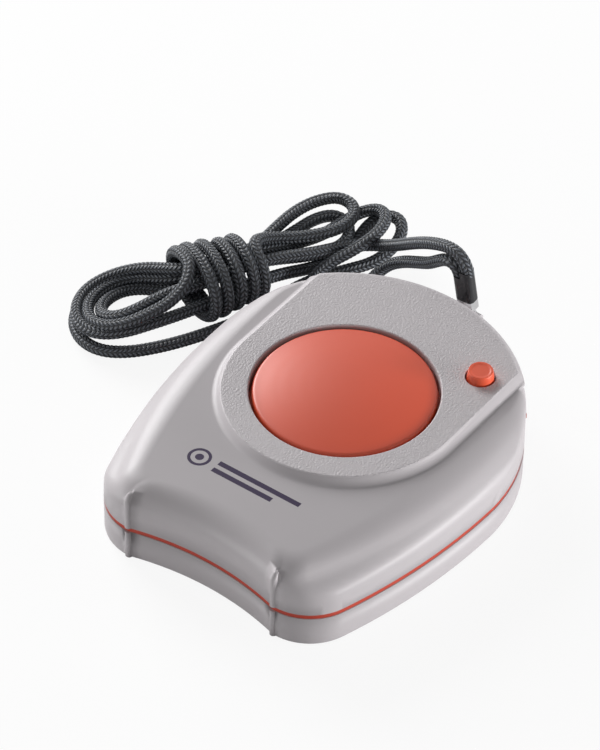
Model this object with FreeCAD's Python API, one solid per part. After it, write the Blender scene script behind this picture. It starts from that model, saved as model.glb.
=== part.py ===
import FreeCAD, Part
import math
import os

# Wireless panic button pendant, lying on its flat back. Millimetres.
# The origin is the foot of the big button's axis on the back, +Z is up through the button,
# +Y runs from the concave front to the cord end and +X is to the right of the print.

# case in plan
case_r = 30.2            # round far end, about the big button's axis
foot_y = -39.65          # front of the two foot corners
foot_in = 5.45           # how far the case is narrower at the feet, each side
foot_r = 9.65
front_in = 0.3           # from a foot corner's centre to the end of the concave front
front_sag = 2.1
foot_x = case_r - foot_in - foot_r
front_x = foot_x - front_in

# heights
part_z = 6.4             # middle of the sealing strip
strip_t = 0.9
strip_in = 0.15          # how far the strip lies behind the walls
deck_z = 15.2
pad_z = 16.5
wall = 1.7
floor_t = 1.6
bottom_r = 0.6

# raised pad round the big button
pad_half = 20.7
pad_slope = 1.5

# big button
well_r = 16.0
cap_gap = 0.55
cap_rim_z = 16.3
dome_h = 1.5
cap_wall = 1.6
flange_over = 1.2        # how far the flange reaches under the edge of the well
flange_t = 1.0
cap_r = well_r - cap_gap
flange_r = well_r + flange_over

# small button
small_hole_r = 2.65
small_gap = 0.25
small_top_z = 18.0
small_taper = 0.3        # how much narrower the top is than the foot
small_dish = 0.15
small_over = 0.85
small_share = 0.64       # where it sits between the well's flange and the case wall
small_r = small_hole_r - small_gap
small_flange_r = small_hole_r + small_over

# electronics
board_gap = 1.2          # between the board and the case wall
board_front = 16.8       # from the feet to the board's straight front edge
board_z = 6.5            # underside of the board
board_t = 1.0
cell_r = 10.0
cell_t = 3.2
cell_y = -6.0
switch_side = 6.0
cavity_in = 0.2          # the cavity's upper part lies this much further in than the wall
switch_h = 3.6
plunger_r = 1.75
contact_t = 0.3
plunger_gap = 0.05
stop_gap = 0.1

# case screws and posts
side_screw = case_r - 8.6
foot_screw = foot_x - 2.6
foot_screw_y = foot_y + 8.8
screw_spots = [(side_screw, 1.5), (-side_screw, 1.5),
               (foot_screw, foot_screw_y), (-foot_screw, foot_screw_y)]
post_spots = [(14.0, -18.5), (-14.0, -18.5), (9.0, 21.0), (-9.0, 21.0)]
boss_r = 2.3
screw_r = 1.1
screw_head_r = 2.0
screw_head_h = 1.3

# lanyard end
lug_out = 4.9            # how far the bar stands out from the round end
lug_z = 8.15
lug_r = 1.25
lug_gap = 1.8            # half the slot between the cheeks
cheek_t = 1.3
bar_r = 0.7
clip_x = 0.25
clip_w = 3.0
clip_len = 3.4           # from the bar to the sleeve
clip_t = 0.5
lean_back = 7.5          # the clip and sleeve lean toward the case and toward the hank
lean_side = 4.0
sleeve_w = 3.6
sleeve_d = 2.5
sleeve_len = 7.0
sleeve_step = 1.6        # the fold is open lower down on the hank side

# cord
cord_d = 2.0
cord_in = 1.0            # how far each strand is drawn inside the sleeve

# outline of the gathered cord
near_len = 30.0
near_h = 6.4
wraps_len = 20.0
wraps_w = 12.4
wraps_h = 10.5
far_len = 34.5
far_h = 9.4

half_strip = strip_t / 2
low_top = part_z - half_strip
up_base = part_z + half_strip
deck_under = deck_z - wall
lug_y = case_r + lug_out
board_r = case_r - wall - board_gap
board_front_y = foot_y + board_front
cell_base = floor_t + 1.4
# the small button stands at 45 degrees, clear of the well's flange and of the case wall
small_near = flange_r + small_flange_r
small_far = case_r - wall - cavity_in - switch_side * math.sqrt(0.5)
small_x = (small_near + (small_far - small_near) * small_share) * math.sqrt(0.5)
small_y = small_x
board_top = board_z + board_t
switch_top = board_top + switch_h
plunger_top = switch_top + 0.7

# Outlines of the upper shell from the strip up to the deck: height, angle where the shoulder
# leaves the round end, end radius, blend radius, side radius, foot centre x, foot radius,
# foot front y, bead front y. The flank rises from the wall, flares in to a soft valley and
# then climbs steeply to the deck.
sections = [
    (up_base, 4.0, case_r, case_r - 4.2, 110.0, foot_x, foot_r, foot_y, foot_y),
    (deck_z - 5.1, 9.0, case_r, 16.0, 115.0, foot_x, foot_r - 0.25, foot_y, foot_y),
    (deck_z - 4.1, 14.0, case_r, 11.0, 110.0, foot_x, foot_r - 1.05, foot_y + 0.1, foot_y),
    (deck_z - 3.4, 18.0, case_r, 9.0, 105.0, foot_x, foot_r - 2.35, foot_y + 0.3, foot_y + 0.1),
    (deck_z - 2.9, 22.0, case_r, 9.0, 100.0, foot_x, foot_r - 3.65, foot_y + 0.5, foot_y + 0.25),
    (deck_z - 2.4, 26.0, case_r, 9.0, 95.0, foot_x, foot_r - 4.75, foot_y + 0.8, foot_y + 0.5),
    (deck_z - 1.7, 31.0, case_r, 9.5, 95.0, foot_x - 0.1, foot_r - 5.25, foot_y + 1.3, foot_y + 0.9),
    (deck_z - 0.9, 37.0, case_r - 0.1, 10.5, 100.0, foot_x - 0.3, foot_r - 5.65, foot_y + 2.1,
     foot_y + 1.7),
    (deck_z - 0.35, 42.0, case_r - 0.4, 11.0, 115.0, foot_x - 0.8, foot_r - 5.85, foot_y + 3.1,
     foot_y + 2.7),
    (deck_z - 0.1, 44.0, case_r - 0.8, 11.0, 130.0, foot_x - 1.3, foot_r - 6.05, foot_y + 4.1,
     foot_y + 3.7),
    (deck_z, 45.0, case_r - 1.3, 11.0, 140.0, foot_x - 1.9, foot_r - 6.25, foot_y + 5.3,
     foot_y + 4.9),
]
low_line = sections[2]   # outline that the lower part of the cavity follows
high_line = sections[9]  # outline that the upper part follows


def vec(x, y, z=0.0):
    return FreeCAD.Vector(x, y, z)


def line(a, b):
    return Part.LineSegment(a, b).toShape()


def arc3(a, m, b):
    return Part.Arc(a, m, b).toShape()


def arc_about(cx, cy, r, a0, a1, z):
    pts = []
    for a in (a0, (a0 + a1) / 2, a1):
        pts.append(vec(cx + r * math.cos(a), cy + r * math.sin(a), z))
    return arc3(*pts)


def tangent_centre(ax, ay, ar, bx, by, br, r):
    # centre of the circle of radius r that two smaller circles touch from inside
    d = math.hypot(bx - ax, by - ay)
    ra = r - ar
    rb = r - br
    t = (ra * ra - rb * rb + d * d) / (2 * d)
    h = math.sqrt(ra * ra - t * t)
    ux = (bx - ax) / d
    uy = (by - ay) / d
    return ax + ux * t + uy * h, ay + uy * t - ux * h


def section_wire(section, inset=0.0, z=None):
    # one closed outline: round end, blend, side, foot corner, concave front, mirrored
    height, shoulder, end_r, blend_r, side_r, fx, fr, fy, bead_y = section
    if z is None:
        z = height
    th = math.radians(shoulder)
    bx = (end_r - blend_r) * math.cos(th)
    by = (end_r - blend_r) * math.sin(th)
    cy = fy + fr
    sx, sy = tangent_centre(bx, by, blend_r, fx, cy, fr, side_r)
    top_a = math.atan2(by - sy, bx - sx)
    low_a = math.atan2(cy - sy, fx - sx)
    right = [
        arc_about(0, 0, end_r - inset, math.pi / 2, th, z),
        arc_about(bx, by, blend_r - inset, th, top_a, z),
        arc_about(sx, sy, side_r - inset, top_a, low_a, z),
        arc_about(fx, cy, fr - inset, low_a, -math.pi / 2, z),
    ]
    bead_x = fx - front_in - 0.4 * (fy - bead_y) - inset * 0.15
    corner = vec(bead_x, bead_y + inset, z)
    right.append(line(vec(fx, fy + inset, z), corner))
    mirror = vec(1, 0, 0)
    left = [e.mirror(vec(0, 0, 0), mirror) for e in right]
    mid = vec(0, bead_y + front_sag + inset, z)
    front = arc3(corner, mid, vec(-bead_x, bead_y + inset, z))
    edges = right + [front] + list(reversed(left))
    return Part.Wire(Part.__sortEdges__(edges))


def loft_of(wires):
    # straight from each outline to the next
    return Part.makeLoft(wires, True, True)


def cylinder(x, y, z0, z1, r):
    return Part.makeCylinder(r, z1 - z0, vec(x, y, z0))


def block(x0, x1, y0, y1, z0, z1):
    return Part.makeBox(x1 - x0, y1 - y0, z1 - z0, vec(x0, y0, z0))


def outline_prism(z0, z1, inset):
    # straight-sided solid that follows the parting line
    face = Part.Face(section_wire(sections[0], inset, z0))
    return face.extrude(vec(0, 0, z1 - z0))


def pad_wire(half, z):
    far = case_r + 2.0
    east = vec(half, 0, z)
    south = vec(0, -half, z)
    west = vec(-half, 0, z)
    a = half * math.sqrt(0.5)
    edges = [
        arc3(west, vec(-a, -a, z), south),
        arc3(south, vec(a, -a, z), east),
        line(east, vec(half, far, z)),
        line(vec(half, far, z), vec(-half, far, z)),
        line(vec(-half, far, z), west),
    ]
    return Part.Wire(edges)


def pad_solid():
    # flat-topped pad with a soft, hollow slope down to the deck
    rise = pad_z - deck_z
    steps = [(-0.6, pad_slope), (0.0, pad_slope), (0.16, pad_slope * 0.62),
             (0.5, pad_slope * 0.3), (rise - 0.3, 0.1), (rise - 0.08, -0.04), (rise, -0.25)]
    return loft_of([pad_wire(pad_half + out, deck_z + up) for up, out in steps])


def turned(points):
    # solid of revolution about Z from (radius, height) points
    pts = [vec(r, 0, z) for r, z in points]
    edges = [line(p, q) for p, q in zip(pts, pts[1:] + pts[:1])]
    return Part.Face(Part.Wire(edges)).revolve(vec(0, 0, 0), vec(0, 0, 1), 360)


def rounded(r, z, radius, start, end, steps):
    # points of a rounded edge about (r, z), angles in degrees from straight out
    out = []
    for i in range(steps + 1):
        a = math.radians(start + (end - start) * i / steps)
        out.append((r + radius * math.cos(a), z + radius * math.sin(a)))
    return out


def round_end():
    # the round far end stands full height, so the pad runs out to its rounded edge
    edge = 1.4
    points = [(0, deck_z - 1.0), (case_r, deck_z - 1.0)]
    points += rounded(case_r - edge, pad_z - edge, edge, 0, 90, 5)
    points += [(0, pad_z)]
    return turned(points)


def beads(levels):
    # round beads at both ends of the concave front, from (height, set back, radius) levels
    out = []
    for side in (-1, 1):
        rings = []
        for z, back, r in levels:
            ring = Part.makeCircle(r, vec(side * front_x, foot_y + back, z))
            rings.append(Part.Wire(ring))
        out.append(loft_of(rings))
    return out


def lug_cheeks():
    out = []
    for side in (-1, 1):
        x0 = lug_gap if side > 0 else -lug_gap - cheek_t
        web = block(x0, x0 + cheek_t, case_r - wall, lug_y, up_base, lug_z + lug_r)
        nose = Part.makeCylinder(lug_r, cheek_t, vec(x0, lug_y, lug_z), vec(1, 0, 0))
        cheek = web.fuse(nose)
        bore = Part.makeCylinder(bar_r, cheek_t + 2, vec(x0 - 1, lug_y, lug_z), vec(1, 0, 0))
        out.append(cheek.cut(bore))
    return out


def upper_shell():
    outer = loft_of([section_wire(s) for s in sections])
    outer = outer.fuse(pad_solid().common(round_end()))
    shelf = low_line[0]
    low = Part.Face(section_wire(low_line, wall, up_base))
    high = Part.Face(section_wire(high_line, wall + cavity_in, up_base))
    inner = low.extrude(vec(0, 0, shelf - up_base)).fuse(high.extrude(vec(0, 0, deck_under - up_base)))
    shell = outer.cut(inner)
    # the beads stand straight and end in a blunt tip on the rolled edge of the deck
    bead_levels = [(up_base, 0.3, 0.65), (deck_z - 2.4, 0.35, 0.65), (deck_z - 1.8, 0.6, 0.55),
                   (deck_z - 1.4, 0.9, 0.4), (deck_z - 1.2, 1.15, 0.2)]
    shell = shell.fuse(lug_cheeks() + beads(bead_levels))
    bosses = []
    bores = []
    for x, y in screw_spots:
        bosses.append(cylinder(x, y, part_z + 0.1, deck_under + 0.3, boss_r))
        bores.append(cylinder(x, y, part_z, deck_under - 1.4, screw_r - 0.15))
    for x, y in post_spots:
        bosses.append(cylinder(x, y, board_top, deck_under + 0.3, 1.2))
    shell = shell.fuse(bosses)
    well = [(0, deck_under - 1), (well_r, deck_under - 1), (well_r, pad_z - 0.35),
            (well_r + 0.12, pad_z - 0.1), (well_r + 0.45, pad_z + 0.05), (0, pad_z + 0.05)]
    bores.append(turned(well))
    bores.append(cylinder(small_x, small_y, deck_under - 1, pad_z + 1, small_hole_r))
    return shell.cut(bores)


def lower_shell():
    # the bottom edge is rounded all the way round
    levels = []
    for i in range(5):
        a = math.radians(90 * i / 4)
        inset = bottom_r * (1 - math.sin(a))
        levels.append(section_wire(sections[0], inset, bottom_r * (1 - math.cos(a))))
    levels.append(section_wire(sections[0], 0, low_top))
    outer = loft_of(levels)
    shell = outer.cut(outline_prism(floor_t, low_top + 1, wall))
    shell = shell.fuse(beads([(bottom_r * 0.5, 0.3, 0.65), (low_top, 0.3, 0.65)]))
    adds = []
    cuts = []
    for x, y in screw_spots:
        adds.append(cylinder(x, y, floor_t - 0.2, low_top, boss_r + 0.5))
        cuts.append(cylinder(x, y, -1, low_top + 1, screw_r + 0.15))
        cuts.append(cylinder(x, y, -1, screw_head_h + 0.5, screw_head_r + 0.3))
    for x, y in post_spots:
        adds.append(cylinder(x, y, floor_t - 0.2, board_z, 1.6))
    return shell.fuse(adds).cut(cuts)


def sealing_strip():
    ring = outline_prism(low_top, up_base, strip_in).cut(outline_prism(low_top - 1, up_base + 1, wall))
    tab = block(case_r - 1.6, case_r + 0.9, -0.55, 0.55, low_top, up_base)
    tab.rotate(vec(0, 0, 0), vec(0, 0, 1), 46)
    return ring.fuse(tab)


def panic_button():
    # domed cap with a skirt, a flange that stops it under the deck and a centre post
    flange_top = deck_under - stop_gap
    base = flange_top - flange_t
    edge = 0.6
    inner_r = cap_r - cap_wall
    under = cap_rim_z - cap_wall
    points = [(0, cap_rim_z + dome_h)]
    for i in range(1, 7):
        r = (cap_r - edge) * i / 6
        points.append((r, cap_rim_z + dome_h * (1 - (i / 6) ** 2)))
    points += rounded(cap_r - edge, cap_rim_z - edge, edge, 70, 0, 3)
    points += [(cap_r, flange_top), (flange_r, flange_top), (flange_r, base)]
    points += [(inner_r, base), (inner_r, under), (0, under)]
    cap = turned(points)
    post = cylinder(0, 0, plunger_top, cap_rim_z - cap_wall + 0.5, 2.5)
    return cap.fuse(post)


def test_button():
    # tapered cap with a dished top, a flange under the deck and a centre stem
    top = small_top_z
    rim = small_r - small_taper
    flange_top = deck_under - stop_gap
    base = flange_top - 0.8
    points = [(0, top - small_dish), (rim - 0.7, top - small_dish), (rim - 0.25, top), (rim - 0.08, top),
              (rim, top - 0.12), (small_r, deck_z + 0.4), (small_r, flange_top),
              (small_flange_r, flange_top), (small_flange_r, base), (1.5, base),
              (1.5, plunger_top), (0, plunger_top)]
    button = turned(points)
    button.translate(vec(small_x, small_y, 0))
    return button


def switch_body(x, y):
    half = switch_side / 2
    body = block(x - half, x + half, y - half, y + half, board_top, switch_top)
    bore = cylinder(x, y, board_top + 0.8, switch_top + 1, plunger_r + plunger_gap)
    return body.cut(bore)


def switch_plunger(x, y):
    return cylinder(x, y, board_top + 2.1, plunger_top, plunger_r)


def circuit_board():
    board = cylinder(0, 0, board_z, board_top, board_r)
    board = board.common(block(-board_r, board_r, board_front_y, board_r, board_z, board_top))
    cuts = [cylinder(x, y, board_z - 1, board_top + 1, boss_r + 0.9) for x, y in screw_spots]
    return board.cut(cuts)


def coin_cell():
    cell = cylinder(0, cell_y, cell_base, cell_base + cell_t, cell_r)
    step = cylinder(0, cell_y, cell_base - 1, cell_base + 0.3, cell_r + 1)
    step = step.cut(cylinder(0, cell_y, cell_base - 2, cell_base + 0.4, cell_r - 1.2))
    return cell.cut(step)


def cell_holder():
    tray = cylinder(0, cell_y, floor_t, cell_base + 2.4, cell_r + 1.5)
    tray = tray.cut(cylinder(0, cell_y, cell_base, cell_base + 4, cell_r + 0.2))
    slot = block(-2.0, 2.0, cell_y - 8, cell_y + 14, cell_base - contact_t, cell_base + 1)
    return tray.cut(slot)


def negative_contact():
    # spring strip under the cell, turned up at the end to reach the board
    strip = block(-1.8, 1.8, cell_y - 7.5, cell_y + 13.0, cell_base - contact_t, cell_base)
    tail = block(-1.8, 1.8, cell_y + 12.6, cell_y + 13.0, cell_base - contact_t, board_z)
    return strip.fuse(tail)


def positive_contact():
    # bridge over the cell, clipped under the board
    top = cell_base + cell_t
    return block(-3.0, 3.0, cell_y - 9.0, cell_y + 9.0, top, board_z)


def microcontroller():
    return block(-13.5, -8.5, -9.0, -4.0, board_top, board_top + 1.2)


def radio_module():
    return block(7.5, 16.5, -11.5, -4.5, board_top, board_top + 1.6)


def crystal_can():
    can = block(-14.5, -11.0, 1.0, 9.0, board_top, board_top + 2.4)
    return can.makeFillet(1.2, [e for e in can.Edges if e.Length < 2.5])


def antenna_loop():
    # flat wire loop round the edge of the board
    ring = cylinder(0, 0, board_top, board_top + 0.6, board_r - 0.8)
    ring = ring.cut(cylinder(0, 0, board_top - 1, board_top + 2, board_r - 1.6))
    return ring.common(block(-12.0, 6.0, board_r - 17.4, board_r, board_top, board_top + 0.6))


def chip_capacitors():
    spots = [(-6.0, -15.0), (-2.0, -15.0), (2.0, -15.0), (6.0, -15.0), (-16.0, -12.0), (8.0, 8.0)]
    return [block(x - 1.0, x + 1.0, y - 0.6, y + 0.6, board_top, board_top + 0.8) for x, y in spots]


def case_screws():
    out = []
    for x, y in screw_spots:
        seat = screw_head_h + 0.5
        head = cylinder(x, y, seat - screw_head_h, seat, screw_head_r)
        slot = block(x - 1.3, x + 1.3, y - 0.25, y + 0.25, 0, seat - screw_head_h + 0.6)
        cross = block(x - 0.25, x + 0.25, y - 1.3, y + 1.3, 0, seat - screw_head_h + 0.6)
        shank = cylinder(x, y, seat - 0.2, deck_under - 2.4, screw_r)
        out.append(head.cut([slot, cross]).fuse(shank))
    return out


def lanyard_bar():
    length = 2 * (lug_gap + cheek_t)
    return Part.makeCylinder(bar_r, length, vec(-length / 2, lug_y, lug_z), vec(1, 0, 0))


clip_top = lug_z + clip_len
clip_y = lug_y + 1.0
sleeve_top = clip_top + sleeve_len
bar_point = vec(clip_x, lug_y, lug_z)


def lean(shape):
    shape.rotate(bar_point, vec(1, 0, 0), lean_back)
    shape.rotate(bar_point, vec(0, 1, 0), -lean_side)
    return shape


def lean_point(x, y, z):
    back = FreeCAD.Rotation(vec(1, 0, 0), lean_back)
    side = FreeCAD.Rotation(vec(0, 1, 0), -lean_side)
    p = side.multVec(back.multVec(vec(x, y, z) - bar_point)) + bar_point
    return (p.x, p.y, p.z)


def lanyard_clip():
    # bright strap folded round the bar and closed on the end of the sleeve
    ring_r = bar_r + 0.15 + clip_t
    x0 = clip_x - clip_w / 2
    ring = Part.makeCylinder(ring_r, clip_w, vec(x0, lug_y, lug_z), vec(1, 0, 0))
    plate = block(x0, x0 + clip_w, clip_y - 1.0, clip_y + 1.0, lug_z + 1.0, clip_top)
    hole = Part.makeCylinder(bar_r + 0.15, clip_w + 2, vec(x0 - 1, lug_y, lug_z), vec(1, 0, 0))
    return lean(ring.fuse(plate).cut(hole))


def cord_sleeve():
    # flattened sleeve that holds both strands
    x0 = clip_x - sleeve_w / 2
    y0 = clip_y - sleeve_d / 2
    sleeve = block(x0, x0 + sleeve_w, y0, y0 + sleeve_d, clip_top, sleeve_top)
    sleeve = sleeve.makeFillet(0.9, [e for e in sleeve.Edges if e.BoundBox.ZLength > 5])
    step = block(x0 - 1, clip_x, y0 - 1, y0 + sleeve_d + 1, sleeve_top - sleeve_step, sleeve_top + 1)
    return lean(sleeve.cut(step))


def round_path(pts):
    # straight runs joined by tangent arcs, each as large as its two runs allow
    pts = [vec(*p) for p in pts]
    edges = []
    radii = []
    start = pts[0]
    for i in range(1, len(pts) - 1):
        a = pts[i - 1] - pts[i]
        b = pts[i + 1] - pts[i]
        run = min(a.Length, b.Length)
        a.normalize()
        b.normalize()
        half_turn = (math.pi - a.getAngle(b)) / 2
        r = 0.45 * run / math.tan(half_turn)
        back = r * math.tan(half_turn)
        t0 = pts[i] + a * back
        t1 = pts[i] + b * back
        bis = (a + b).normalize()
        mid = pts[i] + bis * (r / math.cos(half_turn) - r)
        edges.append(line(start, t0))
        edges.append(arc3(t0, mid, t1))
        radii.append(r)
        start = t1
    edges.append(line(start, pts[-1]))
    return Part.Wire(edges), radii


def cord_tube(name, pts):
    path, radii = round_path(pts)
    first = path.Edges[0]
    circle = Part.Wire(Part.makeCircle(cord_d / 2, first.valueAt(first.FirstParameter),
                                       first.tangentAt(first.FirstParameter)))
    tube = path.makePipeShell([circle], True, False)
    expect = path.Length * math.pi * (cord_d / 2) ** 2
    print(name, "length", round(path.Length, 1), "radii", [round(r, 1) for r in radii],
          "volume", round(tube.Volume, 1), "of", round(expect, 1))
    return tube


strand_1_pts = [
    lean_point(clip_x + 0.9, clip_y, sleeve_top - cord_in),
    (0.0, 34.6, 20.1),
    (-1.1, 34.5, 21.7),
    (-2.8, 34.7, 22.0),
    (-4.7, 35.5, 20.9),
    (-7.6, 37.1, 18.2),
    (-11.5, 39.1, 15.2),
    (-15.6, 41.3, 12.3),
    (-20.1, 43.1, 9.2),
    (-25.2, 44.2, 6.6),
]
strand_2_pts = [
    lean_point(clip_x - 0.9, clip_y, sleeve_top - sleeve_step - cord_in),
    (-1.5, 34.9, 18.1),
    (-2.4, 34.8, 19.0),
    (-3.8, 35.1, 18.8),
    (-5.5, 35.9, 17.4),
    (-8.0, 37.2, 15.0),
    (-11.5, 38.6, 12.3),
    (-15.6, 40.0, 9.7),
    (-20.1, 41.2, 7.1),
    (-25.0, 41.7, 4.8),
]

# the hank lies behind and to the left of the case
def hank_lump(x, y, angle, length, left, right, height, r):
    # block from (x, y) along the angle, with round ends and a rounded top
    lump = block(0, length, -right, left, 0.0, height)
    lump = lump.makeFillet(r, [e for e in lump.Edges if e.BoundBox.ZLength > 1])
    lump = lump.makeFillet(r * 0.7, [e for e in lump.Edges if e.BoundBox.ZMin > height - 0.01])
    lump.rotate(vec(0, 0, 0), vec(0, 0, 1), angle)
    lump.translate(vec(x, y, 0))
    return lump


def cord_hank():
    # outer shape of the gathered cord: near loops, tight wraps and the long far loops
    half = wraps_w / 2
    near = hank_lump(-59.6, -3.2, 49.6, near_len, 7.0, 9.0, near_h, 4.0)
    wraps = hank_lump(-46.6, 10.8, 59.0, wraps_len, half, half, wraps_h, 4.5)
    far = hank_lump(-39.1, 19.8, 70.0, far_len, 6.8, 7.4, far_h, 5.0)
    return near.fuse([wraps, far])


os.makedirs("parts", exist_ok=True)

nodes = {
    "upper_shell": upper_shell(),
    "lower_shell": lower_shell(),
    "sealing_strip": sealing_strip(),
    "panic_button": panic_button(),
    "panic_switch_body": switch_body(0, 0),
    "panic_switch_plunger": switch_plunger(0, 0),
    "test_button": test_button(),
    "test_switch_body": switch_body(small_x, small_y),
    "test_switch_plunger": switch_plunger(small_x, small_y),
    "circuit_board": circuit_board(),
    "coin_cell": coin_cell(),
    "cell_holder": cell_holder(),
    "negative_contact": negative_contact(),
    "positive_contact": positive_contact(),
    "microcontroller": microcontroller(),
    "radio_module": radio_module(),
    "crystal_can": crystal_can(),
    "antenna_loop": antenna_loop(),
    "chip_capacitors": chip_capacitors(),
    "case_screws": case_screws(),
    "lanyard_bar": lanyard_bar(),
    "lanyard_clip": lanyard_clip(),
    "cord_sleeve": cord_sleeve(),
    "cord_strand_1": cord_tube("cord_strand_1", strand_1_pts),
    "cord_strand_2": cord_tube("cord_strand_2", strand_2_pts),
    "cord_hank": cord_hank(),
}

for name, shape in nodes.items():
    if isinstance(shape, list):
        shape = Part.makeCompound(shape)
    elif len(shape.Solids) == 1:
        shape = shape.Solids[0]
    shape.exportStep("parts/" + name + ".step")
    print(name, "solids", len(shape.Solids), "valid", shape.isValid(), "volume", round(shape.Volume, 1))
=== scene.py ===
import bpy
import bmesh
import math
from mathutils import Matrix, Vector


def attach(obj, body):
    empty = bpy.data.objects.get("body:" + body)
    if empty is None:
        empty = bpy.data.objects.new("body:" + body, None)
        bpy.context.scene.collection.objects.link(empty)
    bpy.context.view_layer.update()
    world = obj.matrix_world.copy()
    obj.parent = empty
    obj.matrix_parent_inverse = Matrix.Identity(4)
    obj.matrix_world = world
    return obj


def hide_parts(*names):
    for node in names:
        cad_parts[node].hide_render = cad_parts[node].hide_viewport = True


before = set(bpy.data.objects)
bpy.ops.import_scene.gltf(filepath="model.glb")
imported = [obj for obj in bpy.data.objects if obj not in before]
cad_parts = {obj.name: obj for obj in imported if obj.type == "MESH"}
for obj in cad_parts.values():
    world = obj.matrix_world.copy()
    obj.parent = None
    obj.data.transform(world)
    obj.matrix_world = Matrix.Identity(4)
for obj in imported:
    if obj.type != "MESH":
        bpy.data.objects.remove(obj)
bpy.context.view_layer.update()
bpy.ops.object.select_all(action="DESELECT")

# Camera: a long lens about 0.7 m away, in front of the case and to its right, looking down on
# it at a little over 40 degrees, as a product photograph does.
camera_data = bpy.data.cameras.new("camera")
camera_data.lens = 204.25
camera_data.sensor_width = 36.0
camera_data.sensor_fit = "AUTO"
camera = bpy.data.objects.new("camera", camera_data)
bpy.context.scene.collection.objects.link(camera)
camera.location = (0.29823, -0.42096, 0.49723)
camera.rotation_euler = tuple(math.radians(a) for a in (47.204, -0.487, 36.594))
bpy.context.scene.camera = camera
bpy.context.scene.view_settings.view_transform = "Standard"

# Neck cord: about three quarters of a metre of limp, round cord, braided from black polyester.
# Both ends are drawn into the sleeve; the rest is gathered in long loops and wound with itself
# about the middle.
cord_across = 0.0022
cord_colour = (0.0080, 0.0095, 0.0125)
# the paler colour is a painted highlight on the tops of the stitches
cord_painted_highlight = (0.112, 0.124, 0.145)

# its route in millimetres, one run after the other; each pass lies inside the wraps
out_of_sleeve = [
    (0.49, 34.86, 17.64), (0.35, 34.7, 19.2), (-0.5, 34.7, 20.6), (-2.2, 35.1, 21.3),
    (-4.6, 35.7, 20.8), (-7.6, 36.6, 19.2), (-10.9, 37.7, 16.9), (-14.3, 39.2, 13.9),
    (-17.7, 41.1, 10.5), (-21.3, 42.8, 7.2), (-25.2, 43.4, 4.9),
]
first_run = [
    (-28.8, 40, 5.2), (-31, 34.6, 6.2), (-34.4, 28.8, 7.4),
]
pass_one = [
    (-37, 23.8, 8.1), (-39, 18.5, 8.2), (-41.1, 13.2, 8.2),
]
near_loop_one = [
    (-43.2, 9.8, 8.2), (-44.8, 6.5, 7.8), (-46.2, 3, 7.2), (-48, 0.5, 6.4), (-50.6, -0.1, 5.2),
    (-53.4, 1.4, 4), (-55, 4.8, 3.1), (-54.8, 8.8, 2.6), (-52.4, 11.6, 2.6), (-49.2, 12.7, 3),
    (-46.8, 13.6, 3.6),
]
pass_two = [
    (-45, 15, 4.1), (-43.3, 20.4, 5.2), (-41.6, 25.7, 6),
]
far_loop_one = [
    (-40.2, 30.3, 6.6), (-40.4, 35.8, 6.8), (-40.2, 40.4, 7), (-39, 44.9, 7), (-36.5, 48.2, 7),
    (-33, 48.2, 6.9), (-30.8, 45.2, 6.9), (-31.2, 41, 7), (-33.2, 37, 7.4),
    (-35.6, 33.6, 7.9), (-37.7, 30.8, 8.7), (-38.5, 28.4, 9.8), (-38.4, 26.4, 10.8),
]

# the wraps run from the far side to the near side and are a little fuller in their second half
wrap_centre = Vector((-40.9, 19.3, 0.0))
wrap_along = Vector((0.407, 0.914, 0.0))
wrap_left = Vector((-0.914, 0.407, 0.0))
wrap_steps = 66
first_turn = 0.03
more_turns = 4.97
half_width = 5.9
half_width_gain = 1.5
half_height = 5.0
half_height_gain = 0.5
gain_rate = 12.0
winding_start = 6.2
winding_length = 12.2
unevenness = 0.5
lying_height = 1.15
wraps = []
for i in range(wrap_steps):
    done = i / (wrap_steps - 1)
    turn = first_turn + more_turns * done
    fuller = 1.0 / (1.0 + math.exp(-gain_rate * (done - 0.5)))
    wide = half_width + half_width_gain * fuller
    high = half_height + half_height_gain * fuller
    forward = winding_start - winding_length * done + unevenness * math.sin(2 * math.pi * done)
    across = -wide * math.sin(2 * math.pi * turn)
    up = high * (1.0 + math.cos(2 * math.pi * turn)) + lying_height
    spot = wrap_centre + wrap_along * forward + wrap_left * across
    wraps.append((spot.x, spot.y, up))

near_loop_two = [
    (-42.1, 12.4, 11.7), (-41.2, 10.4, 10.8), (-41.4, 8, 9.4), (-42.4, 5.3, 8.2),
    (-44.2, 2.2, 7.2), (-46.4, -0.5, 6.2), (-49.2, -2, 5.2), (-52.4, -1.9, 4.4),
    (-55.2, 0, 3.8), (-57, 3.4, 3.5), (-57, 7.2, 3.5), (-55.4, 10.4, 3.8), (-52.8, 12.6, 4.3),
    (-49.8, 13.6, 5), (-47.7, 14.3, 5.7),
]
pass_three = [
    (-46, 15.8, 6.2), (-42, 20, 6.3), (-39, 24.7, 6.2),
]
far_loop_two = [
    (-36.6, 29.4, 5.3), (-33.4, 34.8, 3.9), (-31, 39.6, 3.3), (-30.6, 43.4, 3.4),
    (-32.4, 46, 4.2), (-35.3, 45.6, 5.2), (-37.2, 42.2, 5.6), (-38.4, 37.6, 5),
    (-40.2, 31.2, 4.3),
]
pass_four = [
    (-41, 25.6, 4), (-44.4, 20.8, 4), (-47.2, 16.8, 3.6),
]
near_loop_three = [
    (-49.6, 15.9, 2.6), (-52.8, 15.4, 1.7), (-56, 13.4, 1.25), (-58.6, 10.2, 1.15),
    (-59.6, 6, 1.15), (-58.9, 1.6, 1.15), (-56.4, -2.2, 1.15), (-52.6, -4.2, 1.15),
    (-48.6, -4, 1.15), (-45, -1.6, 1.15), (-42, 2, 1.15), (-39.4, 6, 1.15), (-37.2, 10.2, 1.15),
    (-35.2, 14.6, 1.15), (-33.4, 19, 1.2), (-32.5, 23.8, 1.4), (-31.6, 28.4, 1.8),
]
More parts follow.
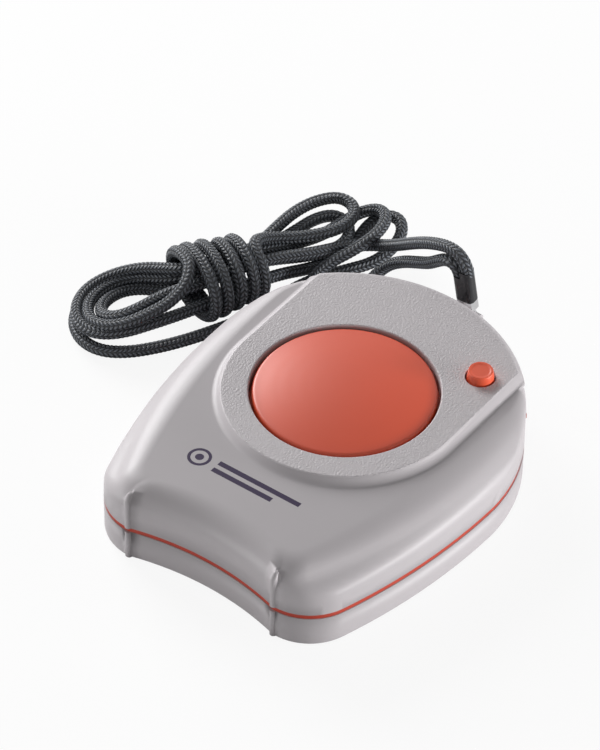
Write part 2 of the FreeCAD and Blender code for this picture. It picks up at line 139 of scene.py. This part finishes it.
far_loop_three = [
    (-29.6, 33.2, 2.1), (-26.8, 37.4, 2.3), (-24, 41.4, 2.6), (-22.9, 45.4, 3.4),
    (-22.9, 48.8, 4.6), (-24.8, 51.3, 5.4), (-27.8, 51.3, 5.2), (-29.8, 48.6, 4.2),
    (-29.8, 44.2, 2.4), (-30.4, 39.4, 1.4), (-32.2, 34, 2.2), (-34.4, 28.6, 3.6),
]
pass_five = [
    (-36, 23.2, 4.6), (-37.4, 18, 5), (-39.3, 12.6, 5),
]
near_loop_four = [
    (-40.6, 9.2, 5.1), (-42, 6, 5.2), (-43.8, 2.9, 5), (-46, 0, 4.4),
    (-48.8, -2.4, 3.9), (-52, -3.5, 3.6), (-55.4, -2.4, 3.4), (-58, 0.6, 3.5),
    (-59, 4.4, 3.7), (-58.2, 8.2, 4.1), (-55.9, 11.4, 4.9), (-52.6, 13.4, 6), (-49.2, 14, 7.2),
    (-46.5, 14.4, 8.2),
]
pass_six = [
    (-44.6, 15.6, 8.7), (-42.2, 20.2, 8.8), (-39.7, 25, 8.4),
]
far_loop_four = [
    (-37.2, 30, 7.2), (-35.4, 35.4, 5.6), (-34, 40.8, 4.6), (-33.2, 45.4, 4.8),
    (-31.4, 49, 5.8), (-28.4, 50.2, 6.9), (-25.6, 48, 7.5), (-24.8, 43.8, 7.3),
    (-26.2, 39.4, 6.2), (-28.6, 35.2, 4.8), (-29.6, 31.4, 3.6), (-28, 27.8, 3), (-24.5, 27.2, 2.4),
    (-21.9, 30, 2), (-21.4, 34.2, 2.2), (-21, 37.8, 3.8),
]
into_sleeve = [
    (-19.2, 39.6, 6.2), (-15.9, 39.3, 8.8), (-12.3, 38.2, 11.3), (-8.9, 36.9, 13.8),
    (-6.4, 35.9, 16.4), (-4.5, 35.2, 18.2), (-2.8, 34.8, 18.8), (-1.5, 34.8, 17.9),
    (-1.2, 35.07, 15.93),
]
cord_points = (out_of_sleeve + first_run + pass_one + near_loop_one + pass_two + far_loop_one
               + wraps + near_loop_two + pass_three + far_loop_two + pass_four + near_loop_three
               + far_loop_three + pass_five + near_loop_four + pass_six + far_loop_four
               + into_sleeve)

# a smooth curve through the route, in metres
route_data = bpy.data.curves.new("cord_route", "CURVE")
route_data.dimensions = "3D"
route_data.resolution_u = 12
route = route_data.splines.new("NURBS")
route.points.add(len(cord_points) - 1)
for point, (x, y, z) in zip(route.points, cord_points):
    point.co = (x / 1000, y / 1000, z / 1000, 1.0)
route.order_u = 3
route.use_endpoint_u = True
route_object = bpy.data.objects.new("cord_route", route_data)
bpy.context.scene.collection.objects.link(route_object)
bpy.context.view_layer.update()
route_mesh = bpy.data.meshes.new_from_object(route_object)
cord_line = [v.co.copy() for v in route_mesh.vertices]
bpy.data.objects.remove(route_object)
bpy.data.meshes.remove(route_mesh)

# even steps along the line
ring_step = 0.00022
reach = [0.0]
for a, b in zip(cord_line, cord_line[1:]):
    reach.append(reach[-1] + (b - a).length)
cord_length = reach[-1]
cord_rings = int(cord_length / ring_step)
even_line = []
at = 0
for i in range(cord_rings + 1):
    want = cord_length * i / cord_rings
    while at < len(reach) - 2 and reach[at + 1] < want:
        at += 1
    share = (want - reach[at]) / max(reach[at + 1] - reach[at], 1e-9)
    even_line.append(cord_line[at].lerp(cord_line[at + 1], min(max(share, 0.0), 1.0)))

# the tube is swept with as little twist as the line allows, and its skin follows the braid:
# columns of stitches, each of them slanted and fullest in its middle
cord_sides = 24
cord_columns = 8
stitch = 0.00077
stitch_slant = 0.8
edge_share = 0.4
thinnest = 0.93
swelling = 0.10
tube = bmesh.new()
wound = tube.loops.layers.uv.new("UVMap")
ahead = (even_line[1] - even_line[0]).normalized()
side = ahead.orthogonal().normalized()
rings = []
for i, centre in enumerate(even_line):
    before = even_line[max(i - 1, 0)]
    after = even_line[min(i + 1, cord_rings)]
    now = (after - before).normalized()
    side = ahead.rotation_difference(now) @ side
    side = (side - now * side.dot(now)).normalized()
    ahead = now
    other = now.cross(side)
    along = cord_length * i / cord_rings / stitch
    ring = []
    for k in range(cord_sides):
        column = cord_columns * k / cord_sides
        slant = abs((column + 1.0) % 2.0 - 1.0)
        swell = abs(math.sin(math.pi * (along + stitch_slant * slant)))
        swell *= edge_share + (1.0 - edge_share) * math.sqrt(abs(math.sin(math.pi * column)))
        radius = cord_across / 2 * (thinnest + swelling * swell)
        angle = 2 * math.pi * k / cord_sides
        outwards = side * math.cos(angle) + other * math.sin(angle)
        ring.append(tube.verts.new(centre + outwards * radius))
    rings.append(ring)
for i in range(cord_rings):
    for k in range(cord_sides):
        m = (k + 1) % cord_sides
        face = tube.faces.new((rings[i][k], rings[i][m], rings[i + 1][m], rings[i + 1][k]))
        face.smooth = True
        spots = ((k, i), (k + 1, i), (k + 1, i + 1), (k, i + 1))
        for loop, (u, v) in zip(face.loops, spots):
            loop[wound].uv = (u / cord_sides, cord_length * v / cord_rings / stitch)
tube.faces.new(list(reversed(rings[0])))
tube.faces.new(rings[-1])
cord_mesh = bpy.data.meshes.new("neck_cord")
tube.to_mesh(cord_mesh)
tube.free()
neck_cord = bpy.data.objects.new("neck_cord", cord_mesh)
bpy.context.scene.collection.objects.link(neck_cord)


def link_math(nodes, links, kind, first, second=None):
    # one Math node fed by sockets or plain numbers
    node = nodes.new("ShaderNodeMath")
    node.operation = kind
    for socket, value in zip(node.inputs, (first, second)):
        if value is None:
            continue
        if isinstance(value, (int, float)):
            socket.default_value = value
        else:
            links.new(value, socket)
    return node.outputs[0]


def braid_material():
    # slanted stitches in columns on the cord's own UV map: dark painted shade in the hollows, a
    # paler painted highlight on top, with fine threads as a fuzz over both
    fuzz_share = 0.3
    hollow_shade_ends = 0.62
    stitch_highlight_top = 1.05 / 1.1
    material = bpy.data.materials.new("braided_cord")
    material.use_nodes = True
    nodes = material.node_tree.nodes
    links = material.node_tree.links
    skin = nodes["Principled BSDF"]
    skin.inputs["Roughness"].default_value = 0.5
    place = nodes.new("ShaderNodeUVMap")
    place.uv_map = "UVMap"
    split = nodes.new("ShaderNodeSeparateXYZ")
    links.new(place.outputs["UV"], split.inputs[0])
    column = link_math(nodes, links, "MULTIPLY", split.outputs["X"], cord_columns)
    slant = link_math(nodes, links, "PINGPONG", column, 1.0)
    slant = link_math(nodes, links, "MULTIPLY", slant, stitch_slant)
    phase = link_math(nodes, links, "ADD", split.outputs["Y"], slant)
    phase = link_math(nodes, links, "MULTIPLY", phase, math.pi)
    rise = link_math(nodes, links, "ABSOLUTE", link_math(nodes, links, "SINE", phase))
    round_column = link_math(nodes, links, "MULTIPLY", column, math.pi)
    rib = link_math(nodes, links, "ABSOLUTE", link_math(nodes, links, "SINE", round_column))
    rib = link_math(nodes, links, "POWER", rib, 0.5)
    height = link_math(nodes, links, "MULTIPLY", rise, rib)
    threads = nodes.new("ShaderNodeTexNoise")
    threads.inputs["Scale"].default_value = 3000.0
    threads.inputs["Detail"].default_value = 2.0
    coords = nodes.new("ShaderNodeTexCoord")
    links.new(coords.outputs["Object"], threads.inputs["Vector"])
    fuzz = link_math(nodes, links, "MULTIPLY", threads.outputs["Fac"], fuzz_share)
    lit = link_math(nodes, links, "ADD", height, fuzz)
    # painted shade and highlight: the hollows get the dark colour, the stitch tops the paler one
    ramp = nodes.new("ShaderNodeValToRGB")
    ramp.color_ramp.elements[0].position = hollow_shade_ends
    ramp.color_ramp.elements[0].color = (*cord_colour, 1.0)
    ramp.color_ramp.elements[1].position = stitch_highlight_top
    ramp.color_ramp.elements[1].color = (*cord_painted_highlight, 1.0)
    links.new(lit, ramp.inputs["Fac"])
    links.new(ramp.outputs["Color"], skin.inputs["Base Color"])
    bump = nodes.new("ShaderNodeBump")
    bump.inputs["Strength"].default_value = 1.0
    bump.inputs["Distance"].default_value = 0.0002
    links.new(lit, bump.inputs["Height"])
    links.new(bump.outputs["Normal"], skin.inputs["Normal"])
    return material


cord_mesh.materials.append(braid_material())
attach(neck_cord, "case")
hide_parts("cord_strand_1", "cord_strand_2", "cord_hank")


# Upper shell: the lid of the case, injection moulded in light grey plastic and held by four
# screws from below. Its deck is satin, the raised pad round the big button has a fine
# spark-eroded grain, and a plain sign is pad-printed on the deck in violet.
shell_colour = (0.490, 0.462, 0.476)
print_colour = (0.016, 0.004, 0.038)
shading_angle = 44


def moulded(name, colour, rough, grain_size, grain_depth, tint=0.06, gloss=0.5):
    # plastic with a slight cloudiness and a fine surface grain; sizes are in metres
    cloud_scale = 140.0
    rough_swing = 0.04
    material = bpy.data.materials.new(name)
    material.use_nodes = True
    nodes = material.node_tree.nodes
    links = material.node_tree.links
    skin = nodes["Principled BSDF"]
    skin.inputs["Specular IOR Level"].default_value = gloss
    coords = nodes.new("ShaderNodeTexCoord")
    cloud = nodes.new("ShaderNodeTexNoise")
    cloud.inputs["Scale"].default_value = cloud_scale
    cloud.inputs["Detail"].default_value = 4.0
    links.new(coords.outputs["Object"], cloud.inputs["Vector"])
    mix = nodes.new("ShaderNodeMix")
    mix.name = "tone"
    mix.data_type = "RGBA"
    mix.inputs[6].default_value = (*[c * (1.0 - tint) for c in colour], 1.0)
    mix.inputs[7].default_value = (*[min(c * (1.0 + tint), 1.0) for c in colour], 1.0)
    links.new(cloud.outputs["Fac"], mix.inputs[0])
    links.new(mix.outputs[2], skin.inputs["Base Color"])
    grain = nodes.new("ShaderNodeTexNoise")
    grain.name = "grain"
    grain.inputs["Scale"].default_value = 1.0 / grain_size
    grain.inputs["Detail"].default_value = 3.0
    links.new(coords.outputs["Object"], grain.inputs["Vector"])
    level = nodes.new("ShaderNodeMapRange")
    level.inputs["To Min"].default_value = rough - rough_swing
    level.inputs["To Max"].default_value = rough + rough_swing
    links.new(grain.outputs["Fac"], level.inputs["Value"])
    links.new(level.outputs["Result"], skin.inputs["Roughness"])
    bump = nodes.new("ShaderNodeBump")
    bump.name = "grain_bump"
    bump.inputs["Strength"].default_value = 1.0
    bump.inputs["Distance"].default_value = grain_depth
    links.new(grain.outputs["Fac"], bump.inputs["Height"])
    links.new(bump.outputs["Normal"], skin.inputs["Normal"])
    return material


def shell_plastic(name):
    # the light grey plastic of both shells
    return moulded(name, shell_colour, rough=0.42, grain_size=0.00035, grain_depth=0.000004,
                   tint=0.02, gloss=0.3)


def smooth_copy(name, node, angle):
    # the same skin as the construction's, merged and shaded as one even surface; what lies
    # flat and level keeps its own normal, so only the edges round it look rounded
    weld = 0.000002
    level_normal = 0.9999
    nearly_level = 0.75
    upright = (0.0, 0.0, 1.0)
    copy = bpy.data.objects.new(name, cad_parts[node].data.copy())
    bpy.context.scene.collection.objects.link(copy)
    copy.data.materials.clear()
    work = bmesh.new()
    work.from_mesh(copy.data)
    bmesh.ops.remove_doubles(work, verts=work.verts, dist=weld)
    for face in work.faces:
        face.smooth = True
    work.to_mesh(copy.data)
    work.free()
    bpy.ops.object.select_all(action="DESELECT")
    copy.select_set(True)
    bpy.context.view_layer.objects.active = copy
    bpy.ops.object.shade_smooth_by_angle(angle=math.radians(angle))
    copy.select_set(False)
    mesh = copy.data
    normals = [tuple(n.vector) for n in mesh.corner_normals]
    level = set()
    for face in mesh.polygons:
        if face.normal.z > level_normal:
            level.update(face.vertices)
            for loop_index in face.loop_indices:
                normals[loop_index] = upright
    for loop in mesh.loops:
        if loop.vertex_index in level and normals[loop.index][2] > nearly_level:
            normals[loop.index] = upright
    mesh.normals_split_custom_set(normals)
    return copy


def span_mask(nodes, links, value, low, high):
    # 1 between low and high, 0 outside
    above = link_math(nodes, links, "GREATER_THAN", value, low)
    below = link_math(nodes, links, "LESS_THAN", value, high)
    return link_math(nodes, links, "MULTIPLY", above, below)


def upper_plastic():
    # the same with the pad's deeper grain, its painted sheen and the printed sign, placed in
    # metres
    pad_span = (0.01630, 0.01660)
    smooth_depth = 0.000002
    pad_depth = 0.00016
    # painted sheen: the pad's colour is this much lighter than the deck's
    pad_painted_sheen = 1.15
    ring_x, ring_y = -0.0102, -0.0262
    ring_span = (0.00150, 0.00205)
    dot_radius = 0.00075
    long_bar_x = (-0.0068, 0.0096)
    long_bar_y = (-0.0259, -0.0249)
    short_bar_x = (-0.0068, 0.0052)
    short_bar_y = (-0.0277, -0.0267)
    deck_span = (0.0149, 0.0154)
    material = shell_plastic("shell_plastic")
    nodes = material.node_tree.nodes
    links = material.node_tree.links
    coords = nodes.new("ShaderNodeTexCoord")
    spot = nodes.new("ShaderNodeSeparateXYZ")
    links.new(coords.outputs["Object"], spot.inputs[0])
    x, y, z = spot.outputs
    # the grain is deeper on the pad
    on_pad = span_mask(nodes, links, z, *pad_span)
    deep = nodes.new("ShaderNodeMapRange")
    deep.inputs["To Min"].default_value = smooth_depth
    deep.inputs["To Max"].default_value = pad_depth
    links.new(on_pad, deep.inputs["Value"])
    links.new(deep.outputs["Result"], nodes["grain_bump"].inputs["Distance"])
    # and a painted sheen: the pad's colour is made a little lighter, for the light its grain
    # scatters
    pad_sheen_tone = nodes.new("ShaderNodeMix")
    pad_sheen_tone.data_type = "RGBA"
    pad_sheen_tone.inputs[7].default_value = (*[c * pad_painted_sheen for c in shell_colour], 1.0)
    links.new(on_pad, pad_sheen_tone.inputs[0])
    links.new(nodes["tone"].outputs[2], pad_sheen_tone.inputs[6])
    # sign: a ring with a dot in it and two bars beside it
    out_x = link_math(nodes, links, "ADD", x, -ring_x)
    out_y = link_math(nodes, links, "ADD", y, -ring_y)
    away = link_math(nodes, links, "ADD", link_math(nodes, links, "MULTIPLY", out_x, out_x),
                     link_math(nodes, links, "MULTIPLY", out_y, out_y))
    away = link_math(nodes, links, "SQRT", away)
    ring = span_mask(nodes, links, away, *ring_span)
    dot = link_math(nodes, links, "LESS_THAN", away, dot_radius)
    long_bar = link_math(nodes, links, "MULTIPLY", span_mask(nodes, links, x, *long_bar_x),
                         span_mask(nodes, links, y, *long_bar_y))
    short_bar = link_math(nodes, links, "MULTIPLY", span_mask(nodes, links, x, *short_bar_x),
                          span_mask(nodes, links, y, *short_bar_y))
    sign = link_math(nodes, links, "ADD", link_math(nodes, links, "ADD", ring, dot),
                     link_math(nodes, links, "ADD", long_bar, short_bar))
    sign = link_math(nodes, links, "MULTIPLY", sign, span_mask(nodes, links, z, *deck_span))
    ink = nodes.new("ShaderNodeMix")
    ink.data_type = "RGBA"
    ink.inputs[7].default_value = (*print_colour, 1.0)
    links.new(sign, ink.inputs[0])
    links.new(pad_sheen_tone.outputs[2], ink.inputs[6])
    links.new(ink.outputs[2], nodes["Principled BSDF"].inputs["Base Color"])
    return material


upper = smooth_copy("upper_skin", "upper_shell", shading_angle)
upper.data.materials.append(upper_plastic())
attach(upper, "case")
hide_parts("upper_shell")


# Lower shell: the tray of the case, moulded in the same light grey plastic, with its bottom
# edge rounded. The screws go up through it into the bosses of the upper shell.
lower = smooth_copy("lower_skin", "lower_shell", shading_angle)
lower.data.materials.append(shell_plastic("lower_plastic"))
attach(lower, "case")
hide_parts("lower_shell")


# Sealing strip: one thin moulded ring of soft coral rubber with a small tab. It is pinched
# between the two shells all round when the screws are tightened.
strip_colour = (0.46, 0.052, 0.028)


def recoat(node, material):
    # a construction piece keeps its solid and gets this material
    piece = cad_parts[node]
    piece.data.materials.clear()
    piece.data.materials.append(material)


recoat("sealing_strip", moulded("strip_rubber", strip_colour, rough=0.55, grain_size=0.0003,
                                grain_depth=0.000006, tint=0.05))


# Big button: a low dome of satin coral plastic, moulded in one piece with its skirt. It slides
# straight down in the hole of the upper shell and presses the switch under it.
coral = (0.69, 0.078, 0.026)
button_shading_angle = 30
big_button = smooth_copy("big_button", "panic_button", button_shading_angle)
big_button.data.materials.append(moulded("button_plastic", coral, rough=0.40, grain_size=0.0005,
                                         grain_depth=0.000003, tint=0.03, gloss=0.6))
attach(big_button, "panic_button")
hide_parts("panic_button")


# Small button: a tapered stub of coral plastic, coloured a little lighter than the big button,
# moulded with a shallow dish on top. It slides in its own hole in the pad, over a second switch.
small_coral = (0.80, 0.105, 0.042)
small_button = smooth_copy("small_button", "test_button", button_shading_angle)
small_button.data.materials.append(moulded("small_button_plastic", small_coral, rough=0.40,
                                           grain_size=0.0004, grain_depth=0.000003, tint=0.03))
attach(small_button, "test_button")
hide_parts("test_button")


# Sleeve: a flattened tube moulded in glossy black plastic. It is squeezed round both ends of
# the cord, which it joins, and ends in the clip.
sleeve_colour = (0.012, 0.012, 0.014)
recoat("cord_sleeve", moulded("sleeve_plastic", sleeve_colour, rough=0.16, grain_size=0.0006,
                              grain_depth=0.000004, tint=0.1))


# Clip, pin and screws: plated steel. The clip is a bright strap, folded round the pin in the lug
# of the case and closed on the end of the sleeve. The four screws are a little duller.
clip_colour = (0.80, 0.80, 0.81)
screw_colour = (0.52, 0.52, 0.54)


def metal(name, colour, rough, scratch):
    # worn plate: fine scratches change the roughness and the surface
    material = moulded(name, colour, rough, scratch, grain_depth=0.000006, tint=0.08)
    material.node_tree.nodes["Principled BSDF"].inputs["Metallic"].default_value = 1.0
    return material


bright_steel = metal("clip_steel", clip_colour, rough=0.16, scratch=0.0004)
recoat("lanyard_clip", bright_steel)
recoat("lanyard_bar", bright_steel)
recoat("case_screws", metal("screw_steel", screw_colour, rough=0.30, scratch=0.0003))


# Inside: a lacquered circuit board clamped between posts of both shells, with its chips, its
# switches and their plungers, and a copper aerial. A coin cell lies under it in a nylon holder,
# between two nickel contacts.

# each piece's material, colour, roughness and grain size in metres
insides = {
    "circuit_board": ("board_lacquer", (0.020, 0.130, 0.055), 0.35, 0.0012),
    "panic_switch_body": ("switch_nylon", (0.020, 0.020, 0.022), 0.50, 0.0004),
    "test_switch_body": ("switch_nylon_small", (0.020, 0.020, 0.022), 0.50, 0.0004),
    "panic_switch_plunger": ("plunger_nylon", (0.55, 0.50, 0.42), 0.45, 0.0004),
    "test_switch_plunger": ("plunger_nylon_small", (0.55, 0.50, 0.42), 0.45, 0.0004),
    "cell_holder": ("holder_nylon", (0.025, 0.025, 0.027), 0.50, 0.0005),
    "microcontroller": ("chip_epoxy", (0.018, 0.018, 0.020), 0.55, 0.0003),
    "radio_module": ("module_epoxy", (0.018, 0.018, 0.020), 0.55, 0.0003),
    "chip_capacitors": ("capacitor_ceramic", (0.42, 0.28, 0.17), 0.45, 0.0003),
}
for name, (material_name, colour, rough, grain) in insides.items():
    recoat(name, moulded(material_name, colour, rough, grain, grain_depth=0.000005, tint=0.08))

# the same for the metal ones
metals = {
    "coin_cell": ("cell_steel", (0.62, 0.62, 0.60), 0.28, 0.0005),
    "negative_contact": ("contact_nickel", (0.60, 0.58, 0.52), 0.30, 0.0004),
    "positive_contact": ("bridge_nickel", (0.60, 0.58, 0.52), 0.30, 0.0004),
    "crystal_can": ("can_steel", (0.65, 0.65, 0.66), 0.25, 0.0005),
    "antenna_loop": ("antenna_copper", (0.70, 0.40, 0.22), 0.30, 0.0004),
}
for name, (material_name, colour, rough, grain) in metals.items():
    recoat(name, metal(material_name, colour, rough, grain))


# Floor: a plain pale sheet laid just under the case, which keeps the soft shadow. The camera
# sees it mixed with plain white, so that it looks white with no more light on the object.
floor_size = 6.0
floor_height = -0.0002
white_share = 0.88
bpy.ops.mesh.primitive_plane_add(size=floor_size, location=(0.0, 0.0, floor_height))
floor = bpy.context.active_object
floor.name = "floor"
floor_material = bpy.data.materials.new("floor")
floor_material.use_nodes = True
nodes = floor_material.node_tree.nodes
links = floor_material.node_tree.links
matt = nodes["Principled BSDF"]
matt.inputs["Base Color"].default_value = (0.86, 0.86, 0.86, 1.0)
matt.inputs["Roughness"].default_value = 0.9
glow = nodes.new("ShaderNodeEmission")
glow.inputs["Color"].default_value = (1.0, 1.0, 1.0, 1.0)
glow.inputs["Strength"].default_value = 1.02
seen = nodes.new("ShaderNodeLightPath")
white_part = link_math(nodes, links, "MULTIPLY", seen.outputs["Is Camera Ray"], white_share)
blend = nodes.new("ShaderNodeMixShader")
links.new(white_part, blend.inputs["Fac"])
links.new(matt.outputs["BSDF"], blend.inputs[1])
links.new(glow.outputs["Emission"], blend.inputs[2])
links.new(blend.outputs["Shader"], nodes["Material Output"].inputs["Surface"])
floor.data.materials.append(floor_material)


# Light: a big soft box on the left, a little behind the case, a long flat one low on the right,
# a weak flat one low at the front left, and an even white room.
def soft_box(name, place, size, power):
    # a lit rectangle in metres and watts, turned towards the case
    lamp = bpy.data.lights.new(name, "AREA")
    lamp.shape = "RECTANGLE"
    lamp.size, lamp.size_y = size
    lamp.energy = power
    holder = bpy.data.objects.new(name, lamp)
    bpy.context.scene.collection.objects.link(holder)
    holder.location = place
    holder.rotation_euler = (-Vector(place)).to_track_quat("-Z", "Y").to_euler()


soft_box("key_light", place=(-0.80, 0.32, 0.38), size=(0.50, 0.50), power=9.6)
soft_box("side_light", place=(0.82, 0.30, 0.05), size=(0.45, 0.09), power=8.4)
soft_box("front_light", place=(-0.66, -0.62, 0.04), size=(0.5, 0.08), power=2.8)

# the room looks white, and lights the object at about a quarter of that
room = bpy.data.worlds.new("room")
bpy.context.scene.world = room
room.use_nodes = True
nodes = room.node_tree.nodes
links = room.node_tree.links
sky = nodes["Background"]
sky.inputs["Color"].default_value = (1.0, 1.0, 1.0, 1.0)
seen = nodes.new("ShaderNodeLightPath")
any_seen = link_math(nodes, links, "MAXIMUM", seen.outputs["Is Camera Ray"],
                     link_math(nodes, links, "MAXIMUM", seen.outputs["Is Glossy Ray"],
                               seen.outputs["Is Transmission Ray"]))
strength = nodes.new("ShaderNodeMapRange")
strength.inputs["To Min"].default_value = 0.24
strength.inputs["To Max"].default_value = 1.0
links.new(any_seen, strength.inputs["Value"])
links.new(strength.outputs["Result"], sky.inputs["Strength"])
